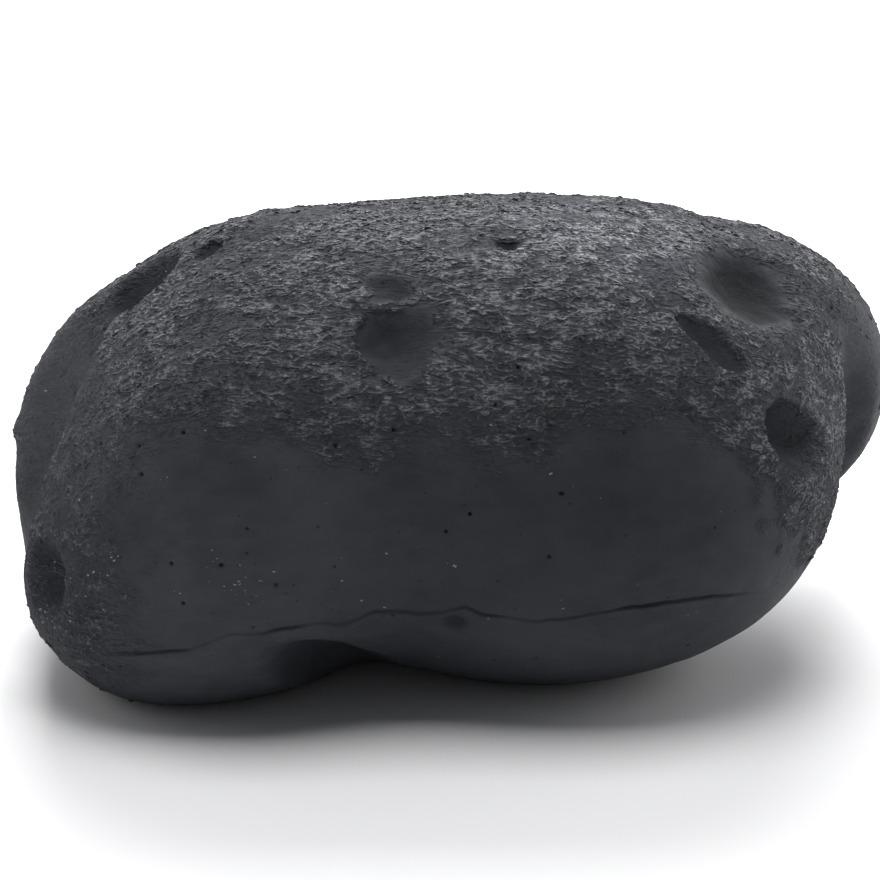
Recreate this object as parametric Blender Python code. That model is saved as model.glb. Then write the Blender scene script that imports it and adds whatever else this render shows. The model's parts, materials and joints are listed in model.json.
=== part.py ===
"""River rock: one dark, water-worn cobble that lies on three blunt feet.

Metres, +Z up. X runs along the stone, and Y from its smooth front face to its back.
The origin is on the ground, under the middle of the stone's bounding box.

The stone is one solid. Its form is a set of rounded lobes run together, then raised by
soft swells and worn by hollows. The tables below give each of them a place, in
millimetres, near the surface it shapes. A ball of small faces, finer around the sharp
rims, is moved out from the stone's heart until each of its points meets that form, and
the result is brought to the driving sizes.
"""

from functools import lru_cache
from typing import NamedTuple

import bmesh
import bpy
import numpy as np

# Driving sizes, in metres: the stone's bounding box.
LENGTH = 0.200
DEPTH = 0.138
HEIGHT = 0.098

# The rest is in millimetres, until the form is brought to the driving sizes.
HEART = np.array([0.0, 8.0, 52.0])
STARTING_REACH = 160.0  # outside every lobe, whichever way it is measured from the heart
HALVINGS = 24
MELT = 9.0  # over how much two lobes run together
GROUND = 1.2  # the level of the worn feet
FOOT_EDGE = 3.0  # how far above and below that level the edge of a foot is rounded

BALL_SUBDIVISIONS = 5
REFINING_PASSES = 3
PLAIN_EDGE = 7.5  # an edge on the plain faces
FINE_EDGE = 2.1  # an edge on the sharpest rim
SAME_SIDE = 0.7  # of a hollow's size: what lies deeper than this is the far side
EDGE_GROWTH = 1.0  # how much longer an edge may be for each millimetre away from a rim

STONE_COLOUR = (0.045, 0.047, 0.052, 1.0)
STONE_ROUGHNESS = 0.85


class Lobe(NamedTuple):
    """One rounded mass, an upright ellipsoid."""

    name: str
    centre: tuple
    radii: tuple


class Swell(NamedTuple):
    """A soft rise of the surface."""

    name: str
    place: tuple
    along: tuple
    length: float
    width: float
    height: float


class Hollow(NamedTuple):
    """A worn pocket, pressed into the surface around its place.

    Its rim is crisp where softness is 1, and runs out gently where it is 2 or more. A lean
    turns the way it is pressed in, so that it undercuts the side opposite to the lean.
    """

    name: str
    place: tuple
    along: tuple
    length: float
    width: float
    depth: float
    softness: float
    lean: tuple = (0.0, 0.0, 0.0)


LOBES = (
    Lobe("body", (0, 8, 57), (74, 54, 43)),
    Lobe("front_left", (-40, -18, 47), (36, 40, 41)),
    Lobe("toe", (-60, -14, 30), (27, 31, 26)),
    Lobe("toe_corner", (-65, -22, 28), (20, 23, 21)),
    Lobe("front_right", (37, -12, 47), (47, 42, 42)),
    Lobe("heel", (13, -6, 38.5), (32, 36, 36)),
    Lobe("left_back", (-67, 18, 46), (32, 36, 40)),
    Lobe("right_back", (74, 34, 60.5), (32, 34, 32)),
    Lobe("crown", (15, 14, 77), (67, 46, 27)),
    Lobe("back", (0, 46, 48), (62, 32, 42)),
    Lobe("back_foot", (-4, 38, 27), (38, 24, 28)),
)

SWELLS = (
    Swell("left_shoulder", (-48, 16, 100), (1, 0, 0), 52, 36, 5.0),
    Swell("right_shoulder", (44, 30, 102), (1, 0, 0), 46, 34, 2.5),
    Swell("left_nub", (-97, 8, 54), (0, 1, 0), 7, 7, 2.0),
    Swell("back_knuckle", (-34, 78, 52), (1, 0, 0.4), 34, 24, 3.0),
    Swell("back_ledge", (34, 76, 46), (1, 0, -0.3), 46, 12, 2.4),
)

HOLLOWS = (
    Hollow("left_valley", (-90, -9, 57), (0.12, 0.25, 1), 86, 36, 8, 1.3, (-0.5, 0, 0)),
    Hollow("right_valley", (91, 3, 56), (0, 0.1, 1), 80, 25, 9, 1.3, (0.5, 0, 0)),
    Hollow("upper_left_eye", (-70, 4, 91), (16, 10, 8), 24, 17, 7, 1.0, (-0.3, 0.3, 0)),
    Hollow("shoulder_pock", (-55, 2, 99), (1, 0.2, 0), 8, 6, 2.5, 1.0),
    Hollow("scoop_top", (-14, -24, 97), (1, 0, 0), 16, 14, 3.4, 1.7),
    Hollow("scoop", (-8, -36, 86), (0.4, 0, 1), 23, 20, 3.8, 1.6),
    Hollow("scoop_heart", (-15.5, -36, 87), (0.25, 0, 1), 15, 10, 3.8, 1.1, (0.7, 0, 0)),
    Hollow("top_pock", (13.5, -13, 106), (1, 0, 0), 6.5, 5, 2.4, 1.0),
    Hollow("right_bowl", (68, -8, 93), (0.3, 0.9, 0), 42, 32, 6.0, 1.8),
    Hollow("bowl_heart", (70, -6, 92), (0.3, 0.9, 0), 25, 23, 5.5, 1.4, (0, -0.4, 0)),
    Hollow("slit", (55, -31, 87), (15, -6, -12), 21, 7, 5.5, 1.0, (0.8, 0, 0.6)),
    Hollow("right_pocket", (72.5, -30, 65), (-0.15, 0, 1), 21, 18, 7.5, 1.0, (0.9, 0, 0)),
    Hollow("lower_left_pocket", (-79.5, -37.5, 37), (0, 0, 1), 20, 16, 6, 1.0, (-0.9, 0, 0)),
    Hollow("low_dimple", (2, -46, 30), (1, 0, 0), 6, 5.5, 1.2, 1.3),
    Hollow("arch", (-23, -38, 15), (0.2, 1, 0), 50, 24, 8, 1.8),
    Hollow("back_bowl", (-6, 70, 74), (1, 0, 0.3), 34, 24, 5, 1.8),
    Hollow("back_pock", (52, 70, 68), (0.6, 0, 1), 13, 9, 3.5, 1.1),
    Hollow("back_pit", (-62, 58, 60), (0, 0, 1), 10, 8, 3, 1.1),
    Hollow("side_dent", (100, 40, 62), (0, 1, 0.3), 24, 18, 3.5, 1.8),
    Hollow("under_hollow", (28, 30, 8), (1, 0.4, 0), 44, 30, 6, 2.0),
)


def ellipsoid_gap(local, radii):
    """About how far each point is outside an ellipsoid, negative inside."""
    near = np.linalg.norm(local / radii, axis=1)
    slope = np.linalg.norm(local / radii**2, axis=1)
    return near * (near - 1) / np.maximum(slope, 1e-9)


def lobes_gap(points):
    """How far each point is outside the lobes, run together into one mass."""
    gaps = [ellipsoid_gap(points - lobe.centre, np.array(lobe.radii, float)) for lobe in LOBES]
    gaps = np.stack(gaps)
    least = gaps.min(axis=0)
    return least - MELT * np.log(np.exp((least - gaps) / MELT).sum(axis=0))


def outward(gap, points, step=0.5):
    """The unit direction in which a gap grows, at each point."""
    slopes = [gap(points + move) - gap(points - move) for move in step * np.eye(3)]
    slopes = np.stack(slopes, axis=1)
    return slopes / np.linalg.norm(slopes, axis=1, keepdims=True)


def reach(gap, directions):
    """Where each line from the heart leaves the form that a gap describes."""
    low = np.zeros(len(directions))
    high = np.full(len(directions), STARTING_REACH)
    for _ in range(HALVINGS):
        middle = (low + high) / 2
        inside = gap(HEART + directions * middle[:, None]) < 0
        low = np.where(inside, middle, low)
        high = np.where(inside, high, middle)
    return HEART + directions * low[:, None]


@lru_cache(maxsize=None)
def seat(feature):
    """A feature's spot on the lobes, and its three axes: along, across and outward."""
    towards = np.array([feature.place], float) - HEART
    spot = reach(lobes_gap, towards / np.linalg.norm(towards))
    out = outward(lobes_gap, spot)[0]
    along = np.array(feature.along, float)
    along -= out * (along @ out)
    along /= np.linalg.norm(along)
    return spot[0], np.stack([along, np.cross(out, along), out])


def swell_height(points, swell):
    """How much a swell raises the form at each point."""
    spot, axes = seat(swell)
    local = (points - spot) @ axes.T
    sizes = np.array([swell.length, swell.width, max(swell.length, swell.width)]) / 2
    return swell.height * np.exp(-((local / sizes) ** 2).sum(axis=1))


def whole_gap(points):
    """How far each point is outside the lobes and swells, before the hollows."""
    return lobes_gap(points) - sum(swell_height(points, swell) for swell in SWELLS)


def from_middle(points, hollow):
    """How far each point is from a hollow's middle: 0 there, 1 on its rim."""
    spot, axes = seat(hollow)
    local = (points - spot) @ axes.T
    spread = np.hypot(local[:, 0] / (hollow.length / 2), local[:, 1] / (hollow.width / 2))
    same_side = local[:, 2] > -SAME_SIDE * max(hollow.length, hollow.width)
    return np.where(same_side, spread, 99.0)


def worn(points):
    """The points moved in by every hollow they lie in."""
    moved = points.copy()
    for hollow in HOLLOWS:
        share = np.clip(1 - from_middle(points, hollow) ** 2, 0, 1) ** hollow.softness
        inward = -(seat(hollow)[1][2] + hollow.lean)
        inward /= np.linalg.norm(inward)
        moved += hollow.depth * share[:, None] * inward
    return moved


def on_the_ground(heights):
    """The heights with what lies lowest worn flat, and the edge of each flat rounded."""
    over = np.clip(heights - GROUND, -FOOT_EDGE, FOOT_EDGE)
    rounded = GROUND + (over + FOOT_EDGE) ** 2 / (4 * FOOT_EDGE)
    return np.where(heights > GROUND + FOOT_EDGE, heights, rounded)


def longest_edge(points):
    """How long an edge may be at each point: short on a crisp rim, long on a plain face."""
    longest = np.full(len(points), PLAIN_EDGE)
    for hollow in HOLLOWS:
        from_rim = np.abs(from_middle(points, hollow) - 1) * hollow.width / 2
        fine = FINE_EDGE * hollow.softness**2
        longest = np.minimum(longest, fine + EDGE_GROWTH * from_rim)
    return longest


def surface(ball):
    """The stone's point, before and after the hollows, for each vertex of the ball."""
    directions = np.array([vertex.co.normalized()[:] for vertex in ball.verts])
    whole = reach(whole_gap, directions)
    points = worn(whole)
    points[:, 2] = on_the_ground(points[:, 2])
    return whole, points


def refine(ball):
    """Halves every edge of the ball that would be too long on the stone."""
    whole, points = surface(ball)
    ball.edges.ensure_lookup_table()
    ball.verts.index_update()
    ends = np.array([[vertex.index for vertex in edge.verts] for edge in ball.edges])
    length = np.linalg.norm(points[ends[:, 0]] - points[ends[:, 1]], axis=1)
    too_long = length > longest_edge(whole[ends].mean(axis=1))
    edges = [ball.edges[index] for index in np.flatnonzero(too_long)]
    bmesh.ops.subdivide_edges(ball, edges=edges, cuts=1)
    bmesh.ops.triangulate(ball, faces=ball.faces[:])
    for vertex in ball.verts:
        vertex.co.normalize()


def stone_ball(passes=REFINING_PASSES):
    """A ball of small triangles, finer around the rims, and the stone's point for each."""
    ball = bmesh.new()
    bmesh.ops.create_icosphere(ball, subdivisions=BALL_SUBDIVISIONS, radius=1.0)
    for _ in range(passes):
        refine(ball)
    return ball, surface(ball)[1]


def to_size(points):
    """The points in metres, brought to the driving sizes, with the origin on the ground."""
    low, high = points.min(axis=0), points.max(axis=0)
    middle = np.array([(low[0] + high[0]) / 2, (low[1] + high[1]) / 2, low[2]])
    return (points - middle) * np.array([LENGTH, DEPTH, HEIGHT]) / (high - low)


def stone_material():
    """Dark, dull stone."""
    material = bpy.data.materials.new("dark_stone")
    material.use_nodes = True
    shader = material.node_tree.nodes["Principled BSDF"]
    shader.inputs["Base Color"].default_value = STONE_COLOUR
    shader.inputs["Roughness"].default_value = STONE_ROUGHNESS
    shader.inputs["Metallic"].default_value = 0.0
    return material


def build_stone():
    """The river rock, as one closed mesh object."""
    ball, points = stone_ball()
    for vertex, point in zip(ball.verts, to_size(points)):
        vertex.co = point
    bmesh.ops.recalc_face_normals(ball, faces=ball.faces[:])
    mesh = bpy.data.meshes.new("river_rock")
    ball.to_mesh(mesh)
    ball.free()
    mesh.shade_smooth()
    mesh.materials.append(stone_material())
    stone = bpy.data.objects.new("river_rock", mesh)
    bpy.context.scene.collection.objects.link(stone)
    return stone


def main():
    """Clears the scene and builds the stone."""
    for obj in list(bpy.data.objects):
        bpy.data.objects.remove(obj)
    build_stone()


if __name__ == "__main__":
    main()
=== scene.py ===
"""River rock: the finished look of one dark, water-worn cobble.

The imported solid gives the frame, its size and its place. This script stands a finer mesh of
the same form in for it, with the ledge line, the pinholes and the lumpy skin that are too
small for the solid, and lays loose flakes and pale flecks on it.

Lengths in the tables are in millimetres, before the form is brought to the stone's size.
"""

import json
import logging
import math
from dataclasses import dataclass, field
from enum import Enum
from typing import Any, Callable

import bmesh
import bpy
import numpy as np
from bpy.types import Collection, Material, Node, NodeSocket, NodeTree, Object
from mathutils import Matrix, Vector, noise
from mathutils.kdtree import KDTree

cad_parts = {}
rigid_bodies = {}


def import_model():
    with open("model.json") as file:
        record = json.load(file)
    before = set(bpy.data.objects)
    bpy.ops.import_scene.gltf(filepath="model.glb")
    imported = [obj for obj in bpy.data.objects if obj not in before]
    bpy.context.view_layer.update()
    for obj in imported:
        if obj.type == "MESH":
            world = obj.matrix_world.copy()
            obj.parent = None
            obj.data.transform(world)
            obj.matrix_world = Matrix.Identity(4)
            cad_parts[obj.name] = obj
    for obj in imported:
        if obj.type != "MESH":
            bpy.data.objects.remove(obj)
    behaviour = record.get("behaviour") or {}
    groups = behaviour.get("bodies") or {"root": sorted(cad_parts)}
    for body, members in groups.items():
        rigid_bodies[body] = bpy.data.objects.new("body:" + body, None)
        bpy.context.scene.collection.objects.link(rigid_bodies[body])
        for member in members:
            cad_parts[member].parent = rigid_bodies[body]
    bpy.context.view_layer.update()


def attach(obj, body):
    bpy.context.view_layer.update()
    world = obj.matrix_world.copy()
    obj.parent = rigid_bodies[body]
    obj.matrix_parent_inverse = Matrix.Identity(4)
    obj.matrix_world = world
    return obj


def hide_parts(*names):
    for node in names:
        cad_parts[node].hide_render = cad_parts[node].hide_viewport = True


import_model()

MM = 0.001
NODE = "river_rock"
# The beds of the rock lie level, so its grain is longer along X than it is high.
BEDDING = (0.55, 0.8, 1.0)
# Its fine ledges are drawn out further still.
LEDGING = (0.4, 0.65, 1.0)
ALONG_X = (1.0, 0.0, 0.0)
# Blender seeds its vector noise from the clock unless it is given a seed.
WANDER_SEED = 5
# Nowhere near, as a distance in millimetres or in parts of a width.
FAR = 99.0
Vec = tuple[float, float, float]
Span = tuple[float, float]
Array = np.ndarray
Pair = tuple[Array, Array]
log = logging.getLogger("river_rock")


# --- Small helpers


def linear(hex_colour: str) -> tuple[float, float, float, float]:
    """Turns an sRGB hex colour into linear RGBA.

    Args:
        hex_colour: six hex digits.
    """
    parts = [int(hex_colour[i : i + 2], 16) / 255 for i in (0, 2, 4)]
    flat = [c / 12.92 if c <= 0.04045 else ((c + 0.055) / 1.055) ** 2.4 for c in parts]
    return (*flat, 1.0)


def set_up(node: Node, settings: dict[Any, Any]) -> Node:
    """Sets a node's attributes and inputs, and links what feeds it.

    Args:
        node: a node of a shader or geometry tree.
        settings: values by the name of an attribute, or by the name or index of an input.
            A socket is linked to the input, and anything else is its plain value.

    Returns:
        The same node.
    """
    for name, value in settings.items():
        if isinstance(value, NodeSocket):
            node.id_data.links.new(value, node.inputs[name])
        elif isinstance(name, str) and hasattr(node, name):
            setattr(node, name, value)
        else:
            node.inputs[name].default_value = value
    return node


def add_object(name: str, data: bpy.types.ID) -> Object:
    """Adds an object to the scene, at the origin."""
    added = bpy.data.objects.new(name, data)
    bpy.context.scene.collection.objects.link(added)
    return added


def add_material(name: str) -> tuple[Material, Node]:
    """Adds a material, and returns it with its shader node."""
    material = bpy.data.materials.new(name)
    material.use_nodes = True
    return material, material.node_tree.nodes["Principled BSDF"]


def smoothstep(low: float, high: float, values: Array) -> Array:
    """A soft step from 0 at low to 1 at high, which may be the smaller of the two."""
    share = np.clip((values - low) / (high - low), 0, 1)
    return share * share * (3 - 2 * share)


def fractal(points: Array, size: float, octaves: float, shift: float) -> Array:
    """Soft fractal noise at each point.

    Args:
        points: places in millimetres.
        size: the width of its largest lumps, in millimetres.
        octaves: how many ever finer layers it has.
        shift: moves the pattern, so that two calls differ.

    Returns:
        About -1 to 1 for each point.
    """
    roughening, finer = 0.9, 2.1
    places = points / size + shift
    return np.array([noise.fractal(Vector(p), roughening, finer, octaves) for p in places])


def crests(points: Array, size: float, octaves: float, shift: float) -> Array:
    """Noise with sharp crests and soft troughs, drawn out along the bedding.

    Args:
        points, size, octaves, shift: as for fractal.

    Returns:
        About 0 to 1 for each point.
    """
    roughening, finer, offset, gain, highest = 1.0, 2.1, 1.0, 2.0, 1.9
    ridged = noise.ridged_multi_fractal
    places = points * BEDDING / size + shift
    found = [ridged(Vector(p), roughening, finer, octaves, offset, gain) for p in places]
    return np.clip(np.array(found) / highest, 0, 1)


def wander(points: Array, size: float, shift: float) -> Array:
    """A soft random push of up to about 1 in every direction, for each point."""
    places = points / size + shift
    return np.array([noise.noise_vector(Vector(p)) for p in places])


# --- The form


@dataclass(frozen=True)
class Lobe:
    """One rounded mass, an upright ellipsoid."""

    name: str
    centre: Vec
    radii: Vec

    def gap(self, points: Array) -> Array:
        """About how far each point is outside the lobe, negative inside."""
        local = points - np.array(self.centre)
        radii = np.array(self.radii, float)
        near = np.linalg.norm(local / radii, axis=1)
        slope = np.linalg.norm(local / radii**2, axis=1)
        return near * (near - 1) / np.maximum(slope, 1e-9)


@dataclass(frozen=True)
class Feature:
    """What swells and hollows share: a place on the lobes and a size there."""

    name: str
    place: Vec
    along: Vec
    length: float
    width: float


@dataclass(frozen=True)
class Swell(Feature):
    """A soft rise of the surface."""

    height: float


@dataclass(frozen=True)
class Hollow(Feature):
    """A worn pocket, pressed into the surface around its place.

    Its rim is crisp where softness is 1. A lean turns the way it is pressed in. Towards the
    side where it runs out its rim is lost, and the opposite wall is steep. Bareness is how
    far its inside is scoured clean of rough skin, shade how much painted shade darkens its
    inside, most along the steep wall, broken how ragged its edge is, taper how much wider
    its far end is, and skew how far its ends are pushed apart sideways.
    """

    depth: float
    softness: float
    lean: Vec = (0.0, 0.0, 0.0)
    runs_out: Vec = (0.0, 0.0, 0.0)
    bareness: float = 0.9
    shade: float = 0.5
    broken: float = 1.0
    taper: float = 0.0
    skew: float = 0.0


@dataclass(frozen=True)
class ToneAndLightPatch:
    """A broad patch where the stone is drawn paler or darker, by a share of its own tone.

    Some are painted light and painted shade, and some the stone's own tone.
    """

    place: Vec
    width: float
    change: float


LOBES = (
    Lobe("body", (0, 8, 57), (74, 54, 43)),
    Lobe("front_left", (-40, -18, 47), (36, 40, 41)),
    Lobe("toe", (-60, -14, 30), (27, 31, 26)),
    Lobe("toe_corner", (-65, -22, 28), (20, 23, 21)),
    Lobe("front_right", (37, -12, 47), (47, 42, 42)),
    Lobe("heel", (13, -6, 38.5), (32, 36, 36)),
    Lobe("left_back", (-67, 18, 46), (32, 36, 40)),
    Lobe("right_back", (74, 34, 60.5), (32, 34, 32)),
    Lobe("crown", (15, 14, 77), (67, 46, 27)),
    Lobe("back", (0, 46, 48), (62, 32, 42)),
    Lobe("back_foot", (-4, 38, 27), (38, 24, 28)),
)

SWELLS = (
    Swell("left_shoulder", (-48, 16, 100), (1, 0, 0), 52, 36, 5.0),
    Swell("right_shoulder", (44, 30, 102), (1, 0, 0), 46, 34, 2.5),
    Swell("left_nub", (-97, 8, 54), (0, 1, 0), 6, 6, 1.1),
    Swell("back_knuckle", (-34, 78, 52), (1, 0, 0.4), 34, 24, 3.0),
    Swell("back_ledge", (34, 76, 46), (1, 0, -0.3), 46, 12, 2.4),
)

HOLLOWS = (
    Hollow("left_valley", (-90, -9, 57), (0.2, 0.42, 1), 86, 37, 8.5, 1.05, (-0.5, 0, 0),
        (-1, 0.3, 0), 0.4, 0.9, 0.3),
    Hollow("right_valley", (91, 3, 49), (0, 0.1, 1), 70, 25, 9, 1.3, (0.5, 0, 0), (1, 0.3, 0),
        0.4, 0.7),
    Hollow("upper_left_eye", (-70, 4, 91), (16, 10, 8), 25, 18, 8, 1.0, (-0.3, 0.3, 0),
        (-0.5, 1, 0.4), 0.9, 0.9, 0.3),
    Hollow("shoulder_pock", (-55, 2, 99), (1, 0.2, 0), 10, 6, 2.3, 1.0, (0, 0, 0), (-1, 0, 0),
        0.9, 0.4, 0.6),
    Hollow("scoop_top", (-11.5, -24.5, 97), (1, 0, 0), 12, 13, 0.7, 1.8, bareness=0.9, shade=0.7,
        broken=2.0),
    Hollow("scoop", (-8, -35, 87.5), (0.4, 0, 1), 26, 18, 2.4, 1.8, bareness=0.9, shade=0.35,
        broken=2.0),
    Hollow("scoop_heart", (-12, -34, 89), (0.25, 0, 1), 16, 13, 3.0, 1.2, (0.5, 0, 0), (1, 0, 0),
        0.9, 0.4, 2.0),
    Hollow("top_pock", (13.5, -13, 106), (1, 0, 0), 6.5, 5, 2.0, 1.1, shade=0.7),
    Hollow("right_bowl", (66, -8, 93.5), (0.3, 0.9, 0), 44, 34, 3.8, 1.9, bareness=0.4, shade=0.3,
        broken=1.5),
    Hollow("bowl_heart", (64, -8, 94), (0.3, 0.9, 0), 34, 29, 2.2, 2.2, bareness=0.9, shade=0.9,
        broken=1.5),
    Hollow("slit", (54.5, -30.5, 88), (15, -6, -12), 22, 8, 3.4, 1.0, (0.8, 0, 0.6),
        (0.6, 0.4, 0.6), 0.95, 0.9, 0.3, 0.2),
    Hollow("right_pocket", (72.5, -30.5, 65), (-0.1, 0, 1), 21, 23, 8, 1.0, (0.9, 0, 0),
        (1, 0.3, 0), 0.9, 1.0, 0.6, -0.35, 0.5),
    Hollow("lower_left_pocket", (-79.5, -37.5, 37), (0, 0, 1), 19, 17, 6, 1.0, (-0.9, 0, 0),
        (-1, 0, 0), 0.3, 0.45, 0.5),
    Hollow("low_dimple", (2, -46, 30), (1, 0, 0), 6, 5.5, 1.2, 1.3),
    Hollow("arch", (-23, -38, 15), (0.2, 1, 0), 50, 24, 8, 1.8, bareness=0.0, shade=0.2),
    Hollow("back_bowl", (-6, 70, 74), (1, 0, 0.3), 34, 24, 5, 1.8, bareness=0.5, shade=0.2,
        broken=2.0),
    Hollow("back_pock", (52, 70, 68), (0.6, 0, 1), 13, 9, 3.5, 1.1, shade=0.7),
    Hollow("back_pit", (-62, 58, 60), (0, 0, 1), 10, 8, 3, 1.1, shade=0.7),
    Hollow("side_dent", (100, 40, 62), (0, 1, 0.3), 24, 18, 3.5, 1.8),
    Hollow("under_hollow", (28, 30, 8), (1, 0.4, 0), 44, 30, 6, 2.0, bareness=0.0, shade=0.0),
)  # fmt: skip

# Among these, the paler left and right ends and the pale patch high on the right end are painted
# light, and the dark patch on the front's right is painted shade; the rest make the tone paler or
# darker in broad patches.
TONE_AND_LIGHT_PATCHES = (
    ToneAndLightPatch((45, -48, 52), 30, -0.36),
    ToneAndLightPatch((5, -50, 38), 26, -0.20),
    ToneAndLightPatch((-48, -48, 12), 24, 0.45),
    ToneAndLightPatch((25, -42, 18), 24, 0.30),
    ToneAndLightPatch((36, -4, 104), 22, 0.65),
    ToneAndLightPatch((-68, -45, 50), 18, -0.15),
    ToneAndLightPatch((-42, -30, 90), 22, -0.18),
    ToneAndLightPatch((95, 20, 62), 24, 0.25),
    ToneAndLightPatch((-92, 0, 66), 20, 0.5),
    ToneAndLightPatch((85, -12, 70), 14, 0.35),
    ToneAndLightPatch((25, -44, 74), 18, -0.15),
    ToneAndLightPatch((-20, -46, 73), 16, -0.12),
    ToneAndLightPatch((-30, 62, 50), 30, -0.12),
    ToneAndLightPatch((20, 68, 66), 26, 0.12),
)

# Where the rough skin of the upper slopes ends, as (X, Z) from left to right.
ROUGH_ABOVE = (
    (-104, 88), (-88, 84), (-80, 76), (-66, 69), (-50, 74), (-38, 75), (-24, 67), (-13, 68),
    (11, 71), (23, 74), (40, 77), (48, 76), (56, 71), (66, 72), (80, 78), (92, 84), (108, 88),
)  # fmt: skip
# Where the rough skin of the right end begins, as (X, Z) from the bottom up.
ROUGH_BEYOND = ((80, 26), (73, 42), (69, 54), (65, 60), (60, 67), (54, 72), (48, 77))

# The ledge line low on the front, as (X, Z) from left to right.
SEAM = (
    (-70, 21.9), (-61, 23.6), (-55, 25.0), (-50, 27.0), (-43.8, 29.6), (-37.8, 29.8),
    (-29.5, 31.0), (-21, 29.4), (-14.3, 32.0), (-7.6, 31.2), (-0.9, 31.2), (3.9, 33.0),
    (7.2, 31.8), (13.5, 30.9), (19.1, 30.5), (27.7, 32.1), (37.8, 34.3), (48.9, 35.3),
    (60.3, 34.4), (68, 31.6),
)  # fmt: skip


@dataclass
class StoneForm:
    """The stone's form: lobes run together, raised by swells and worn by hollows.

    Its size is in metres and all else in millimetres. Melt is how softly the lobes run
    together; bend and fray are how far outlines go astray, softly and finely; running_out
    is how fast a one-sided hollow loses its rim, and past_middle how early.
    """

    size: Vec = (0.200, 0.138, 0.098)
    heart: Vec = (0.0, 8.0, 52.0)
    melt: float = 9.0
    ground: float = 1.2
    foot_edge: float = 3.0
    same_side: float = 0.7
    bend: float = 1.3
    fray: float = 0.5
    running_out: float = 2.6
    past_middle: float = 0.35
    crisp_below: float = 1.2
    probe: float = 0.5
    starting_reach: float = 160.0
    halvings: int = 24
    seats: dict[str, Pair] = field(default_factory=dict)

    def lobes_gap(self, points: Array) -> Array:
        """How far each point is outside the lobes, run together into one mass."""
        gaps = np.stack([lobe.gap(points) for lobe in LOBES])
        least = gaps.min(axis=0)
        return least - self.melt * np.log(np.exp((least - gaps) / self.melt).sum(axis=0))

    def reach(self, gap: Callable[[Array], Array], directions: Array) -> Array:
        """Where each line from the heart leaves the form that a gap describes."""
        low = np.zeros(len(directions))
        high = np.full(len(directions), self.starting_reach)
        for _ in range(self.halvings):
            middle = (low + high) / 2
            inside = gap(np.array(self.heart) + directions * middle[:, None]) < 0
            low = np.where(inside, middle, low)
            high = np.where(inside, high, middle)
        return np.array(self.heart) + directions * low[:, None]

    def seat(self, feature: Feature) -> Pair:
        """A feature's spot on the lobes, and its axes: along, across and outward."""
        if feature.name not in self.seats:
            towards = np.array([feature.place], float) - np.array(self.heart)
            spot = self.reach(self.lobes_gap, towards / np.linalg.norm(towards))
            steps = self.probe * np.eye(3)
            slope = [self.lobes_gap(spot + s) - self.lobes_gap(spot - s) for s in steps]
            out = np.concatenate(slope)
            out /= np.linalg.norm(out)
            along = np.array(feature.along, float)
            along -= out * (along @ out)
            along /= np.linalg.norm(along)
            axes = np.stack([along, np.cross(out, along), out])
            self.seats[feature.name] = (spot[0], axes)
        return self.seats[feature.name]

    def swell_height(self, points: Array, swell: Swell) -> Array:
        """How much a swell raises the form at each point."""
        spot, axes = self.seat(swell)
        local = (points - spot) @ axes.T
        widest = max(swell.length, swell.width)
        sizes = np.array([swell.length, swell.width, widest]) / 2
        return swell.height * np.exp(-((local / sizes) ** 2).sum(axis=1))

    def whole_gap(self, points: Array) -> Array:
        """How far each point is outside the lobes and swells, before the hollows."""
        return self.lobes_gap(points) - sum(self.swell_height(points, s) for s in SWELLS)

    def from_middle(self, points: Array, hollow: Hollow) -> Array:
        """How far each point is from a hollow's middle: 0 there, 1 on its rim."""
        spot, axes = self.seat(hollow)
        local = (points - spot) @ axes.T
        down = local[:, 0] / (hollow.length / 2)
        wide = hollow.width / 2 * (1 + hollow.taper * np.clip(down, -1, 1))
        spread = np.hypot(down, local[:, 1] / wide - hollow.skew * down)
        same_side = local[:, 2] > -self.same_side * max(hollow.length, hollow.width)
        return np.where(same_side, spread, FAR)

    def astray(self, points: Array) -> Pair:
        """How far outlines go astray at each point: softly, and finely, which breaks them."""
        soft = self.bend * wander(points, 14.0, 2.0)
        coarse = wander(points, 4.0, 8.0)
        fine = self.fray * (coarse + 0.5 * wander(points, 1.7, 5.0))
        return soft, fine

    def side(self, points: Array, hollow: Hollow) -> Array:
        """Where each point is across a hollow: -1 on its steep side, 1 where it runs out."""
        spot, axes = self.seat(hollow)
        halves = np.array([hollow.length, hollow.width]) / 2
        spread = (points - spot) @ axes[:2].T / halves
        return np.clip(spread @ (axes[:2] @ np.array(hollow.runs_out)), -1, 1)

    def across(self, points: Array, hollow: Hollow, astray: Pair) -> Pair:
        """Both of the above, for points that go astray by as much as the hollow is broken."""
        soft, fine = astray
        edges = points + soft + hollow.broken * fine
        return self.from_middle(edges, hollow), self.side(edges, hollow)

    def worn(self, points: Array, astray: Pair) -> Array:
        """The points, on the form before its hollows, moved in by every hollow."""
        moved = points.copy()
        for hollow in HOLLOWS:
            spread, side = self.across(points, hollow, astray)
            share = np.clip(1 - spread**2, 0, 1)
            inward = -(self.seat(hollow)[1][2] + hollow.lean)
            inward /= np.linalg.norm(inward)
            past = self.past_middle if np.any(hollow.runs_out) else 0.0
            softness = hollow.softness * self.running_out ** (side + past)
            moved += (hollow.depth * share**softness)[:, None] * inward
        return moved

    def on_the_ground(self, heights: Array) -> Array:
        """The heights with what lies lowest worn flat, and each flat's edge rounded."""
        edge = self.foot_edge
        over = np.clip(heights - self.ground, -edge, edge)
        rounded = self.ground + (over + edge) ** 2 / (4 * edge)
        return np.where(heights > self.ground + edge, heights, rounded)

    def from_rims(self, points: Array) -> Array:
        """How far each point is from the nearest crisp rim, in millimetres."""
        crisp = [hollow for hollow in HOLLOWS if hollow.softness < self.crisp_below]
        gaps = [np.abs(self.from_middle(points, h) - 1) * h.width / 2 for h in crisp]
        return np.min(gaps, axis=0)


# --- The stone


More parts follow.
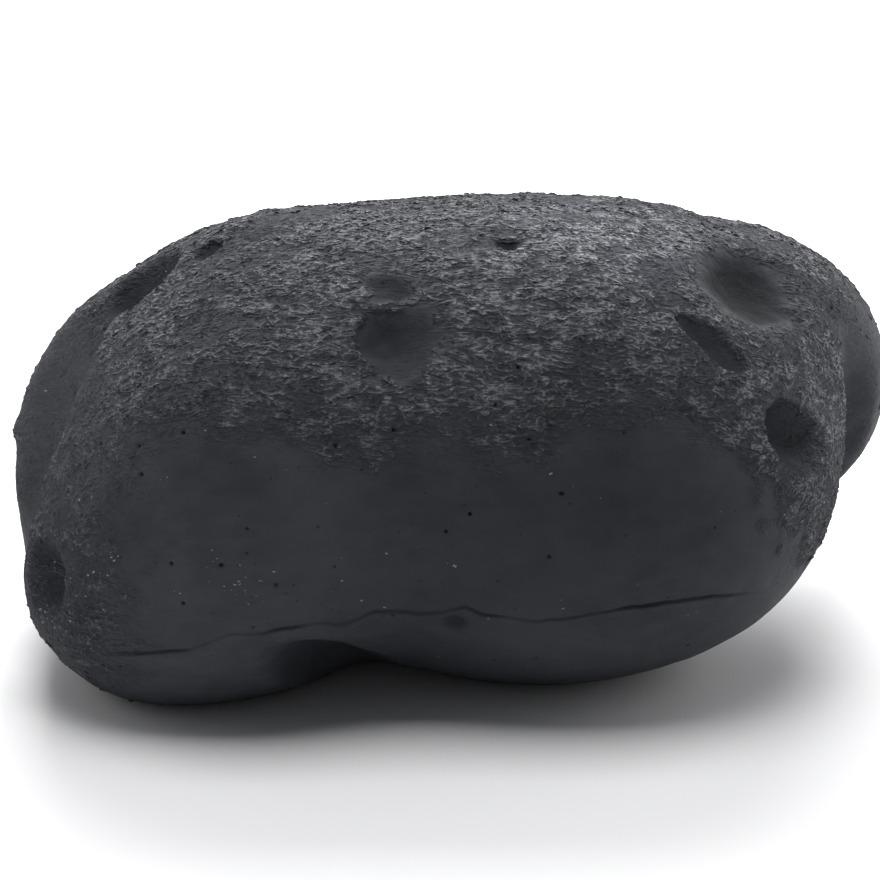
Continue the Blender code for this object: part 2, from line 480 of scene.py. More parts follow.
class Mark(Enum):
    """What the stone's mesh tells its material at each point, as attributes."""

    ROUGH = "rough"
    # Painted shade in the hollows.
    SHADE = "shade"
    # Painted shade in the pinholes and the ledge groove.
    PIT = "pit"
    # The stone's tone, with broad patches of painted light and painted shade.
    TONE = "tone"
    FLECK = "fleck"
    FLAKY = "flaky"


@dataclass
class PinHoles:
    """Small round holes left by bubbles, closest on the front's left; few are wide."""

    front: int = 110
    elsewhere: int = 130
    closer: float = 2.6
    seed: int = 11
    smallest: float = 0.16
    largest: float = 0.5
    rarity: float = 2.5
    centres: Array = field(init=False)
    radii: Array = field(init=False)

    def scatter(self, points: Array) -> None:
        """Chooses the holes' centres among evenly spread points of the surface."""
        rng = np.random.default_rng(self.seed)
        front = (points[:, 1] < -28) & (points[:, 2] > 14) & (points[:, 2] < 74)
        leftward = np.where(points[:, 0] < -20, self.closer, 1.0)
        chance = np.where(front, leftward, 0.0)
        first = rng.choice(len(points), self.front, replace=False, p=chance / chance.sum())
        chance = np.where(front, 0.0, 1.0)
        rest = rng.choice(len(points), self.elsewhere, replace=False, p=chance / chance.sum())
        self.centres = points[np.concatenate([first, rest])]
        wide = rng.random(len(self.centres)) ** self.rarity
        self.radii = self.smallest + (self.largest - self.smallest) * wide

    def reach_of(self, points: Array) -> Pair:
        """For each point, the distance to its nearest hole's centre and that hole's radius."""
        tree = KDTree(len(self.centres))
        for index, centre in enumerate(self.centres):
            tree.insert(Vector(centre), index)
        tree.balance()
        found = [tree.find(Vector(point)) for point in points]
        apart = np.array([item[2] for item in found])
        return apart, self.radii[[item[1] for item in found]]


@dataclass
class RiverRock:
    """The stone itself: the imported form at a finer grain, with its skin.

    The edges are how long the mesh's edges may be. The groove has a width and a depth, its
    lip a drop below it, a width and a height, all in millimetres.
    """

    form: StoneForm
    scatter_subdivisions: int = 6
    ball_subdivisions: int = 7
    passes: int = 3
    plain_edge: float = 1.9
    rough_edge: float = 1.3
    rim_edge: float = 0.9
    seam_edge: float = 0.32
    hole_edge: float = 0.4
    seam_stray: float = 0.7
    groove: Span = (0.34, 0.55)
    lip: Vec = (0.9, 0.6, 0.28)
    behind_drop: float = 14
    left_share: float = 0.45
    right_share: float = 0.85
    ends_shares: Span = (0.36, 0.16)
    crisp_blur: float = 0.12
    soft_blur: float = 0.5
    holes: PinHoles = field(default_factory=PinHoles)

    def seam_offset(self, points: Array) -> Pair:
        """Where each point lies against the ledge line.

        Returns:
            The height above the line in millimetres, FAR away from it, and the line's
            strength there, 0 to 1.
        """
        line = np.array(SEAM, float)
        across = np.interp(points[:, 0], line[:, 0], line[:, 1])
        astray = fractal(points * ALONG_X, 7, 3, 6.0)
        above = points[:, 2] - across - self.seam_stray * astray
        along = smoothstep(-74, -66, points[:, 0]) * smoothstep(71, 60, points[:, 0])
        broken = fractal(points * ALONG_X, 19, 2, 2.0)
        uneven = 0.35 + 0.65 * smoothstep(-0.35, 0.35, broken)
        strength = along * uneven * (points[:, 1] < -22)
        return np.where(strength > 0, above, FAR), strength

    def roughness(self, points: Array, astray: Pair) -> Array:
        """How gritty the skin is: 1 on the upper slopes and the end ridges, 0 on the front."""
        x, y, z = points.T
        drift = fractal(points, 24, 2, 5.0) * 5
        drift = drift + fractal(points, 6, 4, 9.0) * 5
        behind = smoothstep(10, 60, y) * (self.behind_drop + 2.5 * drift)
        border = np.interp(x, *np.transpose(ROUGH_ABOVE))
        upper = smoothstep(-9, 9, z - border + drift + behind)
        upper *= 0.7 + 0.3 * smoothstep(76, 98, z)
        left = smoothstep(-55, -76, x + 1.5 * drift) * smoothstep(-12, -24, y + drift)
        beyond, levels = np.transpose(ROUGH_BEYOND)
        right = smoothstep(-3, 5, x - np.interp(z, levels, beyond) + drift)
        right *= smoothstep(24, 40, z) * smoothstep(4, -4, y)
        rough = np.maximum(self.left_share * left, self.right_share * right)
        rough = np.maximum(upper, rough)
        ends = np.where(x < 0, *self.ends_shares) * smoothstep(20, 50, z)
        rough = np.maximum(rough, ends * smoothstep(66, 80, np.abs(x)))
        ragged = fractal(points, 4.5, 3, 40.0)
        for hollow in HOLLOWS:
            spread, side = self.form.across(points, hollow, astray)
            open_side = np.clip(side, 0, 1)
            spread = spread + 0.16 * hollow.broken * ragged
            polished = smoothstep(1.05, 1.05 - (0.3 + 0.5 * open_side), spread)
            if hollow.broken > 0.5:
                polished *= 1 - 0.5 * open_side
            rough = rough * (1 - hollow.bareness * polished)
        return rough

    def clumps(self, points: Array) -> Array:
        """Where the rough skin flakes most: in loose clumps drawn out along the bedding."""
        broad = fractal(points * BEDDING, 15, 2, 30.0)
        close = fractal(points * BEDDING, 4.5, 3, 33.0)
        return smoothstep(-0.5, 0.45, 0.35 * broad + 0.8 * close)

    def tone(self, points: Array) -> Array:
        """The stone's tone against its plain tone of 1, with soft clouding.

        Its broad patches are partly painted light and painted shade, partly the stone's own tone.
        """
        tone = 1 + 0.10 * fractal(points, 38, 3, 12.0)
        tone = tone + 0.05 * fractal(points, 9, 3, 14.0)
        for tone_and_light_patch in TONE_AND_LIGHT_PATCHES:
            apart = np.linalg.norm(points - tone_and_light_patch.place, axis=1)
            tone += tone_and_light_patch.change * np.exp(-((apart / tone_and_light_patch.width) ** 2))
        return tone

    def flecks(self, points: Array) -> Array:
        """How thickly pale flecks lie: in loose clusters, most of them low on the left."""
        clusters = fractal(points, 13, 3, 20.0)
        low_left = smoothstep(0, -50, points[:, 0]) * smoothstep(70, 40, points[:, 2])
        return 0.04 + smoothstep(0.12, 0.5, clusters) * (0.25 + 0.75 * low_left)

    def shade(self, points: Array, astray: Pair) -> Array:
        """Painted shade in the hollows: how much darker their insides are drawn, most along the
        steep wall.
        """
        shade = np.zeros(len(points))
        for hollow in HOLLOWS:
            spread, side = self.form.across(points, hollow, astray)
            blur = self.crisp_blur if hollow.softness < 1.1 else self.soft_blur
            blur += 0.45 * np.clip(side + 0.3, 0, 1)
            inside = smoothstep(1.05, 1.05 - blur, spread)
            steep = np.clip(0.4 - 0.7 * side, 0, 1)
            steep = np.where(np.any(hollow.runs_out), steep, 1.0)
            shade = np.maximum(shade, hollow.shade * inside * steep)
        return shade

    def longest_edge(self, points: Array) -> Array:
        """How long an edge may be at each point, in millimetres."""
        upper = smoothstep(58, 70, points[:, 2]) * smoothstep(62, 40, points[:, 1])
        longest = self.plain_edge + (self.rough_edge - self.plain_edge) * upper
        longest = np.minimum(longest, self.rim_edge + 0.35 * self.form.from_rims(points))
        above, _ = self.seam_offset(points)
        near_seam = self.seam_edge + 0.5 * np.maximum(np.abs(above) - 1.0, 0)
        longest = np.minimum(longest, near_seam)
        apart, radius = self.holes.reach_of(points)
        near_hole = self.hole_edge + 0.5 * np.maximum(apart - 1.1 * radius, 0)
        return np.minimum(longest, near_hole)

    def directions(self, ball: bmesh.types.BMesh) -> Array:
        """The unit direction of each vertex of the ball."""
        places = np.array([vertex.co[:] for vertex in ball.verts])
        return places / np.linalg.norm(places, axis=1, keepdims=True)

    def refine(self, ball: bmesh.types.BMesh) -> None:
        """Halves every edge of the ball that would be too long on the stone."""
        whole = self.form.reach(self.form.whole_gap, self.directions(ball))
        points = self.form.worn(whole, self.form.astray(whole))
        ball.edges.ensure_lookup_table()
        ball.verts.index_update()
        ends = np.array([[vertex.index for vertex in edge.verts] for edge in ball.edges])
        length = np.linalg.norm(points[ends[:, 0]] - points[ends[:, 1]], axis=1)
        too_long = length > self.longest_edge(whole[ends].mean(axis=1))
        edges = [ball.edges[index] for index in np.flatnonzero(too_long)]
        bmesh.ops.subdivide_edges(ball, edges=edges, cuts=1)
        bmesh.ops.triangulate(ball, faces=ball.faces[:])
        for vertex in ball.verts:
            vertex.co.normalize()

    def normals(self, points: Array, faces: Array) -> Array:
        """The outward unit normal at each point of the mesh."""
        first, second, third = (points[faces[:, i]] for i in range(3))
        crossed = np.cross(second - first, third - first)
        normals = np.zeros_like(points)
        for corner in range(3):
            np.add.at(normals, faces[:, corner], crossed)
        return normals / np.linalg.norm(normals, axis=1, keepdims=True)

    def skin_height(self, whole: Array, rough: Array, crest: Array) -> Array:
        """How far the skin stands out from the plain form, in millimetres."""
        lumps = fractal(whole, 17, 3, 1.0)
        waves = fractal(whole * BEDDING, 5.5, 2, 3.0)
        return lumps * (0.25 + 0.5 * rough) + waves * (0.03 + 0.2 * rough) + 0.45 * crest

    def seam_height(self, whole: Array) -> Pair:
        """The ledge line's groove, with its lower lip standing a little proud.

        Returns:
            How far the skin stands out there, in millimetres, and 0 to 1 for how far each
            point is inside the groove, which sets the groove's painted shade.
        """
        above, strength = self.seam_offset(whole)
        (groove_width, groove_depth), (lip_drop, lip_width, lip_height) = self.groove, self.lip
        inside = np.exp(-((above / groove_width) ** 2)) * strength
        lip = np.exp(-(((above + lip_drop) / lip_width) ** 2)) * strength
        return lip_height * lip - groove_depth * inside, inside

    def hole_height(self, whole: Array) -> Pair:
        """The pinholes' depth at each point, and 0 to 1 for how far it is inside one, for their
        painted shade.
        """
        apart, radius = self.holes.reach_of(whole)
        inside = np.clip(1 - (apart / (1.15 * radius)) ** 2, 0, 1)
        return -1.5 * radius * inside**0.8, smoothstep(0.0, 0.8, inside)

    def build(self) -> Object:
        """Builds the stone's mesh with its marks.

        Returns:
            The stone, in metres, at the origin.
        """
        ball = bmesh.new()
        bmesh.ops.create_icosphere(ball, subdivisions=self.scatter_subdivisions, radius=1.0)
        self.holes.scatter(self.form.reach(self.form.whole_gap, self.directions(ball)))
        ball.free()
        ball = bmesh.new()
        bmesh.ops.create_icosphere(ball, subdivisions=self.ball_subdivisions, radius=1.0)
        for _ in range(self.passes):
            self.refine(ball)
        bmesh.ops.recalc_face_normals(ball, faces=ball.faces[:])
        whole = self.form.reach(self.form.whole_gap, self.directions(ball))
        ball.verts.index_update()
        faces = np.array([[vertex.index for vertex in face.verts] for face in ball.faces])
        astray = self.form.astray(whole)
        plain = self.form.worn(whole, astray)
        plain[:, 2] = self.form.on_the_ground(plain[:, 2])
        # What touches the ground is left plain, so that the stone stands on flat feet.
        clear = smoothstep(self.form.ground + 0.05, self.form.ground + 5, plain[:, 2])
        rough = self.roughness(whole, astray) * clear
        crest = crests(whole, 2.4, 2.0, 4.0)
        clumps = self.clumps(whole) * rough
        shade = self.shade(whole, astray)
        dents, pits = self.hole_height(whole)
        groove, in_groove = self.seam_height(whole)
        rise = self.skin_height(whole, rough, crest * clumps) + groove + dents
        points = plain + self.normals(plain, faces) * (rise * clear)[:, None]
        points[:, 2] = np.maximum(points[:, 2], self.form.ground)
        low, high = plain.min(axis=0), plain.max(axis=0)
        middle = np.array([(low[0] + high[0]) / 2, (low[1] + high[1]) / 2, low[2]])
        points = (points - middle) * np.array(self.form.size) / (high - low)
        for vertex, point in zip(ball.verts, points):
            vertex.co = point
        mesh = bpy.data.meshes.new("river_rock_skin")
        ball.to_mesh(mesh)
        ball.free()
        mesh.shade_smooth()
        marks = {
            Mark.ROUGH: rough,
            # Painted shade in the hollows.
            Mark.SHADE: shade,
            # Painted shade in the pinholes and the ledge groove.
            Mark.PIT: np.maximum(pits, 0.4 * in_groove),
            # The stone's tone, with broad patches of painted light and painted shade.
            Mark.TONE: self.tone(whole),
            Mark.FLECK: self.flecks(whole) * clear * (1 - np.clip(shade, 0, 1)),
            Mark.FLAKY: clumps,
        }
        for mark, values in marks.items():
            layer = mesh.attributes.new(mark.value, "FLOAT", "POINT")
            layer.data.foreach_set("value", values.astype(np.float32))
        return add_object("river_rock_skin", mesh)


# --- Finishes


@dataclass
class Painter:
    """Works values and colours together in one node tree."""

    tree: NodeTree

    def add(self, kind: str, settings: dict[Any, Any]) -> Node:
        """Adds a node of one of Blender's types and sets it up."""
        return set_up(self.tree.nodes.new(kind), settings)

    def place(self, stretch: Vec = (1.0, 1.0, 1.0)) -> NodeSocket:
        """Object coordinates, drawn out along the axes by a stretch."""
        found = self.add("ShaderNodeTexCoord", {}).outputs["Object"]
        settings = {"Scale": stretch, "Vector": found}
        return self.add("ShaderNodeMapping", settings).outputs[0]

    def mark(self, which: Mark) -> NodeSocket:
        """The value of one of the mesh's marks."""
        settings = {"attribute_name": which.value}
        return self.add("ShaderNodeAttribute", settings).outputs["Fac"]

    def vector(self, operation: str, *values: Any) -> Node:
        """Vectors worked together; each is a socket or a plain vector."""
        settings = {"operation": operation, **dict(enumerate(values))}
        return self.add("ShaderNodeVectorMath", settings)

    def warped(self, place: NodeSocket, size: float, push: float) -> NodeSocket:
        """A place pushed about at random, in lumps of a size, both in millimetres."""
        settings = {"Scale": 1 / (size * MM), "Detail": 2.0, "Vector": place}
        pushes = self.add("ShaderNodeTexNoise", settings).outputs["Color"]
        return self.vector("MULTIPLY_ADD", pushes, (push * MM,) * 3, place).outputs[0]

    def cloud(self, place: NodeSocket, size: float, detail: float, **more: Any) -> NodeSocket:
        """Noise with lumps of a size in millimetres, and more settings if it needs them."""
        settings = {"Scale": 1 / (size * MM), "Detail": detail, "Roughness": 0.55, **more}
        return self.add("ShaderNodeTexNoise", {"Vector": place, **settings}).outputs["Fac"]

    def cells(self, place: NodeSocket, size: float) -> bpy.types.bpy_prop_collection:
        """What a pattern of random cells of a size in millimetres gives."""
        settings = {"Scale": 1 / (size * MM), "Randomness": 1.0, "Vector": place}
        return self.add("ShaderNodeTexVoronoi", settings).outputs

    def parts(self, vector: NodeSocket) -> bpy.types.bpy_prop_collection:
        """A vector's or a colour's three parts."""
        return self.add("ShaderNodeSeparateXYZ", {0: vector}).outputs

    def grade(self, value: NodeSocket, *ends: Any) -> NodeSocket:
        """A value brought from one range to another, or to 0 to 1, and held there."""
        settings = {"Value": value, **dict(zip(("From Min", "From Max", "To Min", "To Max"), ends))}
        return self.add("ShaderNodeMapRange", settings).outputs["Result"]

    def work(self, operation: str, *values: Any) -> NodeSocket:
        """Values worked together; each is a socket or a number."""
        settings = {"operation": operation, **dict(enumerate(values))}
        return self.add("ShaderNodeMath", settings).outputs[0]

    def mix(self, share: Any, first: Any, last: Any) -> NodeSocket:
        """Two colours mixed; each is a socket or a hex colour."""
        colours = [linear(c) if isinstance(c, str) else c for c in (first, last)]
        settings = {"data_type": "RGBA", 0: share, 6: colours[0], 7: colours[1]}
        return self.add("ShaderNodeMix", settings).outputs[2]

    def bump(self, height: NodeSocket, strength: float, distance: float) -> NodeSocket:
        """A normal from heights; one unit of height is a distance in millimetres."""
        settings = {"Strength": strength, "Distance": distance * MM, "Height": height}
        return self.add("ShaderNodeBump", settings).outputs["Normal"]

    def flakes(self, place: NodeSocket, size: float) -> NodeSocket:
        """The height of broken flakes of a size in millimetres, in parts of their size.

        Each is tipped and raised its own way.
        """
        cells = self.cells(place, size)
        across = self.vector("SUBTRACT", place, cells["Position"]).outputs[0]
        lean = self.vector("SUBTRACT", cells["Color"], (0.5, 0.5, 0.5)).outputs[0]
        tipped = self.vector("DOT_PRODUCT", across, lean).outputs["Value"]
        slope = self.work("MULTIPLY", tipped, 2.0 / (size * MM))
        return self.work("MULTIPLY_ADD", self.parts(cells["Color"])[0], 0.5, slope)


@dataclass(frozen=True)
class StoneFinish:
    """Dark, close-grained stone.

    What the eye gets: a nearly black, faintly blue-grey body. Where water has polished it,
    it is even and satin, with a few pores. Where it has weathered, flakes and sand-sized
    grains stand out of it, their crests paler, partly from weathering and partly a painted
    highlight, and their gaps darker, so it looks greyer and fully matt. Its hollows,
    pinholes, pore dots and ledge groove are darkened with painted shade.

    Sizes and heights are in millimetres. Of a pair, the first is for smooth skin and the
    second for rough. The finest pores are drawn as coarse as they have to be to show.
    """

    name: str = "weathered_dark_stone"
    smooth: str = "2A2C32"
    mottle: str = "36383D"
    worn: str = "4B4C51"
    gap: str = "2A2B2F"
    # Paler crests: partly their weathered colour, partly a painted highlight.
    crest: str = "797A7E"
    # Painted shade for the insides of the hollows.
    painted_hollow_shade: str = "18191C"
    # Painted shade in the pinholes, the pore dots and the ledge groove.
    hole: str = "131416"
    smear: str = "38393D"
    flake: float = 1.1
    grain: float = 0.5
    ridge: float = 1.2
    dot_spacing: float = 4.5
    pore: float = 0.35
    pore_heights: Span = (0.02, 0.06)
    flake_heights: Span = (0.0, 0.4)
    grain_heights: Span = (0.012, 0.3)
    ridge_heights: Span = (0.012, 0.38)
    cloud_heights: Span = (0.06, 0.3)
    dot_depth: float = 0.15
    dullness: Span = (0.64, 0.95)
    deep_dullness: float = 0.98
    specular: float = 0.22

    def dots(self, paint: Painter, place: NodeSocket) -> NodeSocket:
        """Pores too small for the mesh: 1 inside a few round dots of mixed width, else 0."""
        cells = paint.cells(place, self.dot_spacing)
        width = paint.grade(paint.parts(cells["Color"])[1], 0.45, 1.0, -0.02, 0.075)
        inside = paint.work("SUBTRACT", width, cells["Distance"])
        return paint.grade(inside, -0.01, 0.02)

    def material(self) -> Material:
        """Builds the material."""
        material, shader = add_material(self.name)
        paint = Painter(material.node_tree)
        place = paint.place()
        bedded = paint.place(BEDDING)
        rough, shade, pit = (paint.mark(m) for m in (Mark.ROUGH, Mark.SHADE, Mark.PIT))
        flaky, tone = paint.mark(Mark.FLAKY), paint.mark(Mark.TONE)

        patches = paint.grade(paint.cloud(place, 24, 4), 0.38, 0.66)
        grains = paint.cloud(bedded, self.grain, 5)
        pores = paint.cloud(place, self.pore, 2)
        flake_height = paint.flakes(bedded, self.flake)
        grain_height = paint.flakes(bedded, self.grain)
        dots = self.dots(paint, place)

        # The smooth body: soft patches and smears, with darker pores, and dots of painted shade.
        body = paint.mix(patches, self.smooth, self.mottle)
        body = paint.mix(paint.grade(pores, 0.3, 0.7, 0.0, 0.3), body, self.gap)
        smears = paint.grade(paint.cloud(bedded, 3.2, 5), 0.38, 0.68, 0.0, 0.6)
        body = paint.mix(smears, body, self.smear)
        body = paint.mix(paint.grade(dots, 0, 1, 0, 0.75), body, self.hole)

        # Ridges and grains are palest on their raised edges, partly their weathered colour and
        # partly a painted highlight, and darkest in the gaps.
        ledges = paint.warped(paint.place(LEDGING), 2.6, 4.0)
        kind = "RIDGED_MULTIFRACTAL"
        ridges = paint.cloud(ledges, self.ridge, 4, noise_type=kind, Offset=1.0)
        raised = paint.work("MULTIPLY_ADD", grain_height, 0.5, ridges)
        thin = paint.grade(rough, 0.0, 0.6, -0.45, 0.0)
        crowded = paint.work("MULTIPLY_ADD", flaky, 0.4, thin)
        # Where the crests are drawn pale, with weathering and a painted highlight.
        dry_and_lit = paint.grade(paint.work("ADD", raised, crowded), 1.4, 2.0)
        dry_and_lit = paint.work("MULTIPLY", dry_and_lit, paint.grade(rough, 0.2, 1.0, 0.55, 1.0))
        gaps = paint.grade(raised, 1.0, 0.45, 0.0, 0.65)
        worn = paint.mix(paint.grade(flaky, 0.1, 0.9), body, self.worn)
        weathered = paint.mix(dry_and_lit, paint.mix(gaps, worn, self.gap), self.crest)

        cover = paint.grade(flaky, 0.0, 0.35, 0.3, 1.0)
        cover = paint.work("MULTIPLY", paint.grade(rough, 0.0, 0.4), cover)
        skin = paint.mix(cover, body, weathered)
        # Painted shade in the hollows.
        skin = paint.mix(shade, skin, self.painted_hollow_shade)
        # Painted shade in the pinholes and the ledge groove.
        skin = paint.mix(paint.grade(pit, 0, 1, 0, 0.9), skin, self.hole)
        # The tone holds broad patches of painted light and painted shade.
        toning = {"operation": "SCALE", 0: skin, 3: tone}
        toned = paint.add("ShaderNodeVectorMath", toning).outputs[0]
        dull = paint.grade(rough, 0, 0.5, *self.dullness)
        deeply_dull = paint.grade(shade, 0, 0.6, self.dullness[0], self.deep_dullness)

        # Fine pores everywhere; flakes, grains and ridges where the skin is rough.
        fine = paint.work("MULTIPLY", pores, paint.grade(rough, 0, 1, *self.pore_heights))
        broken = paint.grade(flaky, 0, 0.7, *self.flake_heights)
        grainy = paint.grade(rough, 0, 0.5, *self.grain_heights)
        ridged = paint.grade(cover, 0, 1.0, *self.ridge_heights)
        cloudy = paint.grade(rough, 0, 0.5, *self.cloud_heights)
        broken = paint.work("MULTIPLY", flake_height, broken)
        grainy = paint.work("MULTIPLY", grain_height, grainy)
        ridged = paint.work("MULTIPLY", ridges, ridged)
        clouded = paint.work("MULTIPLY_ADD", grains, cloudy, ridged)
        rest = paint.work("ADD", grainy, clouded)
        height = paint.work("ADD", paint.work("ADD", fine, broken), rest)
        dented = paint.work("MULTIPLY", dots, self.dot_depth)
        settings = {
            "Base Color": toned,
            "Roughness": paint.work("MAXIMUM", dull, deeply_dull),
            "Specular IOR Level": self.specular,
            "Normal": paint.bump(paint.work("SUBTRACT", height, dented), 1.0, 1.0),
        }
        set_up(shader, settings)
        return material


@dataclass(frozen=True)
class FleckFinish:
    """Pale mineral flecks: dull, and each a little off its neighbours in tone."""

    name: str = "pale_fleck"
    low: str = "626365"
    high: str = "8E8E8D"
    roughness: float = 0.7
    specular: float = 0.35
    mottling: float = 1.3
    bump: Span = (0.6, 0.2)

    def material(self) -> Material:
        """Builds the material."""
        material, shader = add_material(self.name)
        paint = Painter(material.node_tree)
        cloud = paint.cloud(paint.place(), self.mottling, 3.0, Roughness=0.6)
        settings = {
            "Base Color": paint.mix(paint.grade(cloud, 0.35, 0.65), self.low, self.high),
            "Roughness": self.roughness,
            "Specular IOR Level": self.specular,
            "Normal": paint.bump(cloud, *self.bump),
        }
        set_up(shader, settings)
        return material


# --- Grit


@dataclass
class Grit:
    """Small angular chips set into the stone's skin by Geometry Nodes.

    Their number follows one of the skin's marks, raised to a power. They keep the marks
    under them, so that a finish dresses them as it does the skin. They lie along X but for
    a random tilt, in radians.
    """

    name: str
    stone: Object
    material: Material
    follows: Mark
    per_square_metre: float
    smallest: float
    largest: float
    seed: int
    thickness: float = 0.3
    kinds: int = 4
    crowding: float = 1.6
    rarity: float = 2.0
    tilt: Vec = (0.35, 0.25, 0.7)

    def chips(self) -> Collection:
        """A few chip shapes to choose from: flat, broken blocks, no two corners alike."""
        rng = np.random.default_rng(self.seed)
        shapes = bpy.data.collections.new(self.name + "_chips")
        for kind in range(self.kinds):
            corners = []
            for level, spread in ((-1, 1.0), (1, 0.7)):
                for x, y in ((-1, -1), (1, -1), (1, 1), (-1, 1)):
                    jitter = rng.uniform(-0.16, 0.16, 3) * (1, 1, self.thickness * 1.5)
                    corner = (0.5 * x * spread, 0.25 * y * spread, 0.5 * level * self.thickness)
                    corners.append(tuple(np.array(corner) + jitter))
            sides = [(i, (i + 1) % 4, 4 + (i + 1) % 4, 4 + i) for i in range(4)]
            quads = [(3, 2, 1, 0), (4, 5, 6, 7), *sides]
            faces = [corner for a, b, c, d in quads for corner in ((a, b, c), (a, c, d))]
            mesh = bpy.data.meshes.new(f"{self.name}_chip_{kind}")
            mesh.from_pydata(corners, [], faces)
            shapes.objects.link(bpy.data.objects.new(mesh.name, mesh))
        return shapes

    def scatter_tree(self, shapes: Collection) -> NodeTree:
        """The Geometry Nodes group that lays the chips on whatever mesh it is given."""
        tree = bpy.data.node_groups.new(self.name + "_scatter", "GeometryNodeTree")
        sizes = [(name, "INPUT", "Float") for name in ("Density", "Smallest", "Largest")]
        ends = ("Geometry", "INPUT", "Geometry"), ("Geometry", "OUTPUT", "Geometry")
        for name, way, kind in (ends[0], *sizes, ("Seed", "INPUT", "Int"), ends[1]):
            kind = "NodeSocket" + kind
            tree.interface.new_socket(name=name, in_out=way, socket_type=kind)
        paint = Painter(tree)
        given = paint.add("NodeGroupInput", {}).outputs
        named = {"data_type": "FLOAT", "Name": self.follows.value}
        mark = paint.add("GeometryNodeInputNamedAttribute", named).outputs["Attribute"]
        crowd = paint.work("POWER", mark, self.crowding)
        settings = {
            "distribute_method": "RANDOM",
            "Mesh": given["Geometry"],
            "Density": paint.work("MULTIPLY", crowd, given["Density"]),
            "Seed": given["Seed"],
        }
        points = paint.add("GeometryNodeDistributePointsOnFaces", settings).outputs
        settings = {"axis": "X", "pivot_axis": "Z", "Vector": ALONG_X}
        settings["Rotation"] = points["Rotation"]
        bedded = paint.add("FunctionNodeAlignRotationToVector", settings).outputs[0]
        least = tuple(-most for most in self.tilt)
        settings = {"data_type": "FLOAT_VECTOR", 0: least, 1: self.tilt, "Seed": given["Seed"]}
        turn = paint.add("FunctionNodeRandomValue", settings).outputs[0]
        settings = {"rotation_space": "LOCAL", 0: bedded, 1: turn}
        turned = paint.add("FunctionNodeRotateRotation", settings).outputs[0]
        settings = {"data_type": "FLOAT", "Seed": given["Seed"]}
        chance = paint.add("FunctionNodeRandomValue", settings).outputs[1]
        few = paint.work("POWER", chance, self.rarity)
        settings = {"Collection": shapes, "Separate Children": True, "Reset Children": True}
        source = paint.add("GeometryNodeCollectionInfo", settings).outputs["Instances"]
        size = paint.grade(few, 0.0, 1.0, given["Smallest"], given["Largest"])
        settings = {"Points": points["Points"], "Instance": source, "Pick Instance": True}
        settings.update({"Rotation": turned, "Scale": size})
        laid = paint.add("GeometryNodeInstanceOnPoints", settings).outputs[0]
        real = paint.add("GeometryNodeRealizeInstances", {"Geometry": laid}).outputs[0]
        settings = {"Material": self.material, "Geometry": real}
        painted = paint.add("GeometryNodeSetMaterial", settings).outputs[0]
        paint.add("NodeGroupOutput", {"Geometry": painted})
        return tree

    def build(self) -> Object:
        """Lays the chips and turns them into a plain mesh.

        Returns:
            One object with all the chips, in metres, at the origin.
        """
        shapes = self.chips()
        carrier = add_object(self.name + "_carrier", self.stone.data.copy())
        modifier = carrier.modifiers.new("scatter", "NODES")
        modifier.node_group = self.scatter_tree(shapes)
        values = (self.per_square_metre, self.smallest * MM, self.largest * MM, self.seed)
        wanted = dict(zip(("Density", "Smallest", "Largest", "Seed"), values))
        for item in modifier.node_group.interface.items_tree:
            if item.in_out == "INPUT" and item.name in wanted:
                modifier[item.identifier] = wanted[item.name]
        bpy.context.view_layer.update()
        laid = carrier.evaluated_get(bpy.context.evaluated_depsgraph_get())
        mesh = bpy.data.meshes.new_from_object(laid)
        mesh.name = self.name
        carrier.modifiers.remove(modifier)
        for spent in (carrier, *shapes.objects):
            bpy.data.objects.remove(spent)
        bpy.data.collections.remove(shapes)
        return add_object(self.name, mesh)


# --- Studio


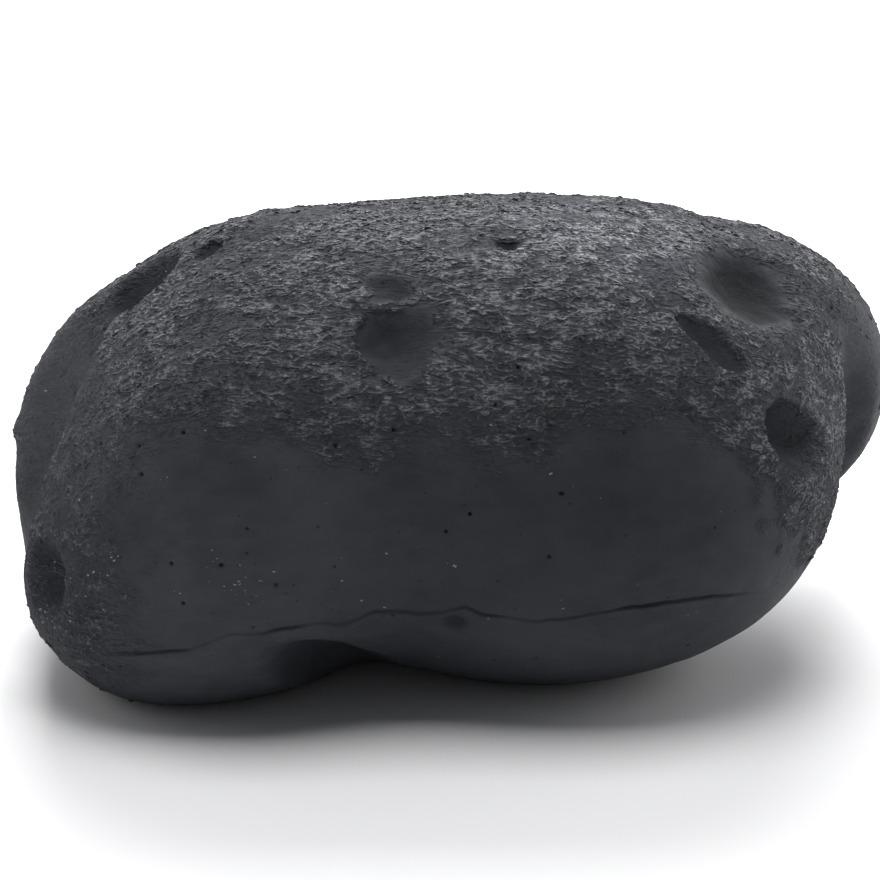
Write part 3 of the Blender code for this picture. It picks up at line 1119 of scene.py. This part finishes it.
@dataclass
class Studio:
    """A plain pale floor, soft light from above, and the camera.

    The washes are four lights round the stone that face away from it, for the floor.
    """

    elevation: float = 18.0
    distance: float = 0.470
    aim: Vec = (-0.004, 0.0, 0.0445)
    lens: float = 85.0
    half_floor: float = 4.0
    sky_strength: float = 0.12
    wash_out: float = 1.25
    wash_up: float = 1.0
    wash_lands: float = 2.25
    wash_size: float = 1.5
    wash_power: float = 45.0

    def floor(self) -> Object:
        """The pale floor."""
        material, shader = add_material("studio_floor")
        set_up(shader, {"Base Color": linear("E9E9EA"), "Roughness": 0.9})
        mesh = bpy.data.meshes.new("studio_floor")
        turns = ((-1, -1), (1, -1), (1, 1), (-1, 1))
        corners = [(x * self.half_floor, y * self.half_floor, 0) for x, y in turns]
        mesh.from_pydata(corners, [], [(0, 1, 2, 3)])
        mesh.materials.append(material)
        return add_object("studio_floor", mesh)

    def light(
        self, name: str, place: Vec, size: float, power: float, at: Vec = (0.0, 0.0, 0.05)
    ) -> None:
        """A square soft light that faces the stone, or what it is pointed at."""
        lamp = bpy.data.lights.new(name, "AREA")
        lamp.size = size
        lamp.energy = power
        hung = add_object(name, lamp)
        hung.location = place
        aim = Vector(at) - Vector(place)
        hung.rotation_euler = aim.to_track_quat("-Z", "Y").to_euler()

    def camera(self) -> None:
        """The camera, a little above the stone and looking at its front."""
        lens = bpy.data.cameras.new("camera")
        lens.lens = self.lens
        lens.clip_start = 0.01
        camera = add_object("camera", lens)
        rise = math.radians(self.elevation)
        back = Vector((0, -math.cos(rise), math.sin(rise)))
        camera.location = Vector(self.aim) + back * self.distance
        camera.rotation_euler = (-back).to_track_quat("-Z", "Y").to_euler()
        bpy.context.scene.camera = camera

    def world(self) -> None:
        """Even, pale surroundings."""
        world = bpy.data.worlds.new("studio")
        world.use_nodes = True
        settings = {"Color": linear("F4F6FA"), "Strength": self.sky_strength}
        set_up(world.node_tree.nodes["Background"], settings)
        bpy.context.scene.world = world
        bpy.context.scene.view_settings.view_transform = "Standard"

    def build(self) -> Object:
        """Sets the studio up and returns its floor."""
        self.world()
        self.light("behind_above", (0.0, 0.95, 0.8), size=0.9, power=27.0)
        self.light("overhead", (0.0, -0.05, 1.2), size=0.7, power=11.0)
        for name, x, y in (("far", 0, 1), ("near", 0, -1), ("left", -1, 0), ("right", 1, 0)):
            place = (self.wash_out * x, self.wash_out * y, self.wash_up)
            at = (self.wash_lands * x, self.wash_lands * y, 0.0)
            self.light(f"{name}_floor", place, self.wash_size, self.wash_power, at)
        self.light("left_side", (-1.1, 0.35, 0.45), size=1.2, power=6.0)
        self.light("right_side", (1.1, 0.35, 0.45), size=1.2, power=9.0)
        self.camera()
        return self.floor()


def main() -> None:
    """Builds the stone, lays its grit, lights it and hands the pieces to the frame."""
    logging.basicConfig(level=logging.INFO, format="%(name)s: %(message)s")
    noise.seed_set(WANDER_SEED)
    stone = RiverRock(StoneForm()).build()
    weathered = StoneFinish().material()
    # The flakes' finish is paler, and its crests are partly a painted highlight.
    dry_and_lit_flake = StoneFinish("dry_stone_flake", worn="56575B", crest="898A8D").material()
    stone.data.materials.append(weathered)
    log.info("stone: %d faces", len(stone.data.polygons))
    pale = FleckFinish().material()
    coats = (
        Grit("coarse_flakes", stone, dry_and_lit_flake, Mark.FLAKY, 0.8e6, 0.4, 1.7, 21),
        Grit("fine_flakes", stone, dry_and_lit_flake, Mark.FLAKY, 1.45e6, 0.25, 0.8, 22),
        Grit("pale_flecks", stone, pale, Mark.FLECK, 0.16e6, 0.2, 0.8, 23),
    )
    grits = [coat.build() for coat in coats]
    for grit in grits:
        log.info("%s: %d faces", grit.name, len(grit.data.polygons))
    for piece in (stone, *grits):
        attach(piece, "root")
    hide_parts(NODE)
    Studio().build()


if __name__ == "__main__":
    main()
